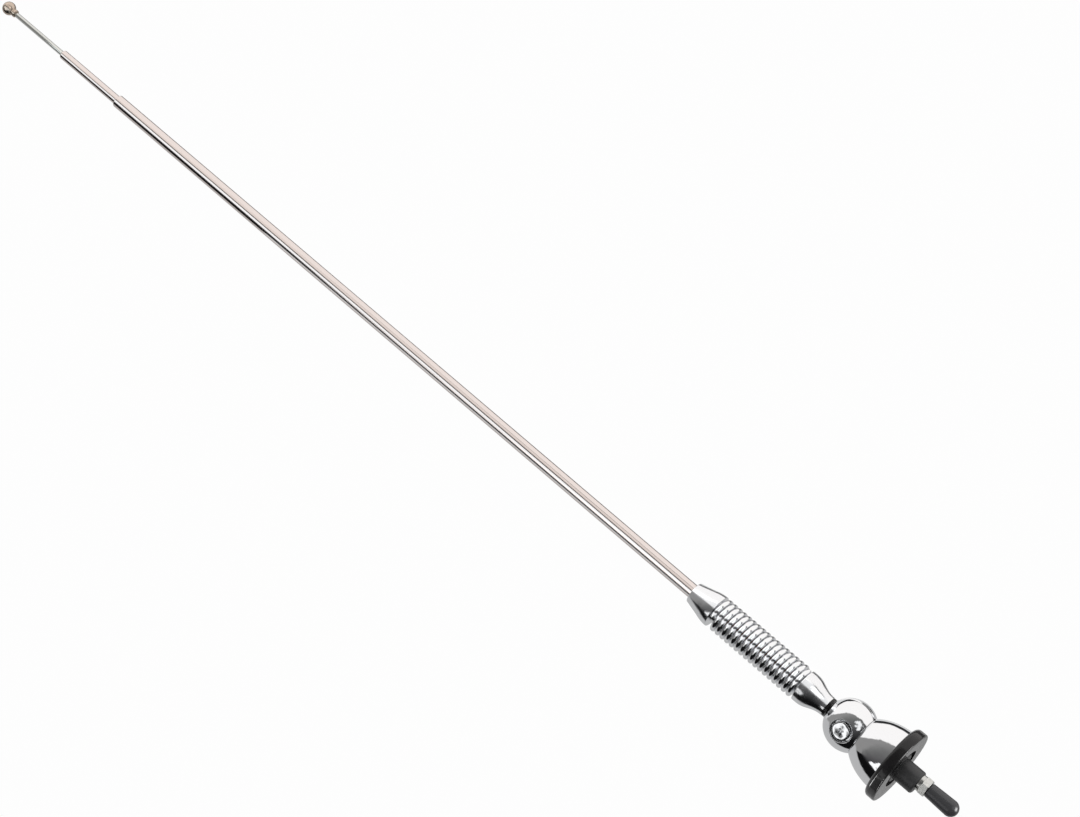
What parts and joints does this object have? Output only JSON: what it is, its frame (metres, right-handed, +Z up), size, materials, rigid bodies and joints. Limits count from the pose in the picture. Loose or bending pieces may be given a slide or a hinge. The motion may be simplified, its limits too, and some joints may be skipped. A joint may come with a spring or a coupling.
{
  "type": "car mast aerial",
  "caption": "Telescopic chromed mast aerial on a flexible coil spring, with a clamped ball swivel, a bell-shaped base on a rubber gasket and a capped terminal stud.",
  "frame": {"origin": "centre of the gasket's underside, the face that rests on the car's panel, on the axis of the stem", "axes": "+Z up along the mast, away from the panel; the clamp screw of the swivel faces -Y; the mast leans towards +X or -X"},
  "size_m": [0.0382, 0.0382, 0.6579],
  "materials": {
    "chrome": "polished chrome plate",
    "nickel": "polished nickel plate",
    "steel": "bright drawn",
    "brass": "turned",
    "copper": "braided copper wire",
    "fibre": "matt pressed fibre",
    "rubber": "matt moulded"
  },
  "bodies": {
    "base": {"base_casting": "chrome", "clamp_screw": "chrome", "clamp_washer": "steel", "friction_disc": "fibre", "panel_gasket": "rubber", "stem_bush": "rubber", "terminal_stud": "steel", "terminal_washer": "steel", "terminal_nut": "steel"},
    "swivel": {"swivel_half": "chrome", "neck_seal": "rubber", "lower_ferrule": "chrome"},
    "spring": {"coil_spring": "chrome", "spring_braid": "copper"},
    "mast": {"upper_ferrule": "chrome", "main_tube": "steel", "mast_plug": "brass"},
    "middle": {"middle_tube": "steel", "middle_clip": "brass"},
    "tip": {"top_rod": "steel", "rod_clip": "brass", "tip_ball": "nickel"},
    "cap": {"stud_cap": "rubber"}
  },
  "joints": [
    {"name": "mast_swivel", "type": "hinge", "parent": "base", "child": "swivel", "pos_m": [0, 0, 0.0298], "axis": [0, 1, 0], "range_deg": [-90, 90]},
    {"name": "spring_side_flex", "type": "hinge", "parent": "swivel", "child": "spring", "pos_m": [0, 0, 0.0714], "axis": [1, 0, 0], "range_deg": [-25, 25], "stiffness_Nm_per_rad": 1.5, "deforming": ["coil_spring", "spring_braid"]},
    {"name": "spring_lean_flex", "type": "hinge", "parent": "spring", "child": "mast", "pos_m": [0, 0, 0.0978], "axis": [0, 1, 0], "range_deg": [-25, 25], "stiffness_Nm_per_rad": 1.5, "deforming": ["coil_spring", "spring_braid"]},
    {"name": "middle_slide", "type": "slide", "parent": "mast", "child": "middle", "axis": [0, 0, 1], "range_m": [-0.042, 0.355]},
    {"name": "rod_slide", "type": "slide", "parent": "middle", "child": "tip", "axis": [0, 0, 1], "range_m": [-0.0365, 0.363]},
    {"name": "cap_pull", "type": "slide", "parent": "base", "child": "cap", "axis": [0, 0, -1], "range_m": [0, 0.02]}
  ]
}
